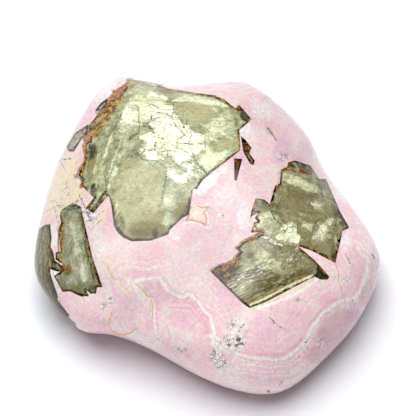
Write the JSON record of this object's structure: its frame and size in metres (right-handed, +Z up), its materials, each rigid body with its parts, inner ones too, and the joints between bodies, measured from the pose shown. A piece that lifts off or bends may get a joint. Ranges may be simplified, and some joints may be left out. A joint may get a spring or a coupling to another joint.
{
  "type": "cobaltoan calcite freeform",
  "caption": "Polished palm-sized freeform of pink banded calcite with clear grey-green crystals grown into it, lying on a ground flat.",
  "frame": {"origin": "middle of the underside of the stone's box, on the plane of the ground flat it rests on", "axes": "+Z up, +X to the right of the polished face, -Y towards the side that the polished face looks to"},
  "size_m": [0.1, 0.1054, 0.0387],
  "materials": {
    "pink_calcite": "polished pink calcite with cream and magenta growth bands, slightly waxy gloss",
    "green_crystal": "polished clear to cloudy pale green crystal with dark green cracks and brown stained walls",
    "grey_green_crystal": "polished cloudy grey-green crystal with pale streaks along its length",
    "dark_crystal": "polished dark brown crystal stained by iron oxide"
  },
  "bodies": {
    "root": {"pink_calcite": "pink_calcite", "large_green_crystal": "green_crystal", "twin_green_crystal": "green_crystal", "left_blade_crystal": "grey_green_crystal", "left_edge_crystal": "grey_green_crystal", "lower_rim_crystal": "grey_green_crystal", "upper_rim_crystal": "grey_green_crystal", "dark_sliver_crystal": "dark_crystal", "brown_wedge_crystal": "dark_crystal"}
  },
  "joints": []
}
